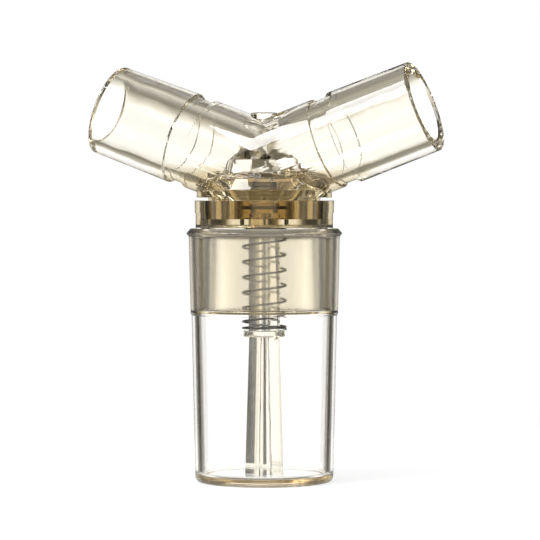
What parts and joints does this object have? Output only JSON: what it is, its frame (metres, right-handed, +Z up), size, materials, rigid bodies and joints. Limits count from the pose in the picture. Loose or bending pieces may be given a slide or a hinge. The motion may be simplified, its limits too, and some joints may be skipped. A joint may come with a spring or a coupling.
{
  "type": "breathing circuit water trap",
  "caption": "Y-shaped water trap with tilted conical hose ports, a sprung drain valve on a long stem and a clear push-on collecting cup.",
  "frame": {"origin": "centre of the cup's base, on the surface it stands on", "axes": "+Z up along the cup and the valve stem, +X along the two hose ports, +Y to the back"},
  "size_m": [0.0862, 0.037, 0.0988],
  "materials": {
    "cup_plastic": "clear, with a satin band below the lip",
    "head_plastic": "clear, faint amber",
    "stem_plastic": "clear, faint amber",
    "seal_rubber": "matt, translucent grey",
    "disc_rubber": "matt, dark grey",
    "spring_wire": "drawn wire"
  },
  "bodies": {
    "cup": {"cup": "cup_plastic"},
    "head": {"y_body": "head_plastic", "valve_body": "head_plastic", "cup_seal": "seal_rubber", "stem_spring": "spring_wire"},
    "valve": {"valve_stem": "stem_plastic", "valve_disc": "disc_rubber", "valve_cap": "stem_plastic"}
  },
  "joints": [
    {"name": "head_lift", "type": "slide", "parent": "cup", "child": "head", "axis": [0, 0, 1], "range_m": [0, 0.06]},
    {"name": "valve_slide", "type": "slide", "parent": "head", "child": "valve", "axis": [0, 0, 1], "range_m": [-0.002, 0], "stiffness_N_per_m": 90, "springref_m": -0.01, "deforming": ["stem_spring"]}
  ],
  "couplings": [
    {"joint": "valve_slide", "follows": "head_lift", "ratio": -0.03333}
  ]
}
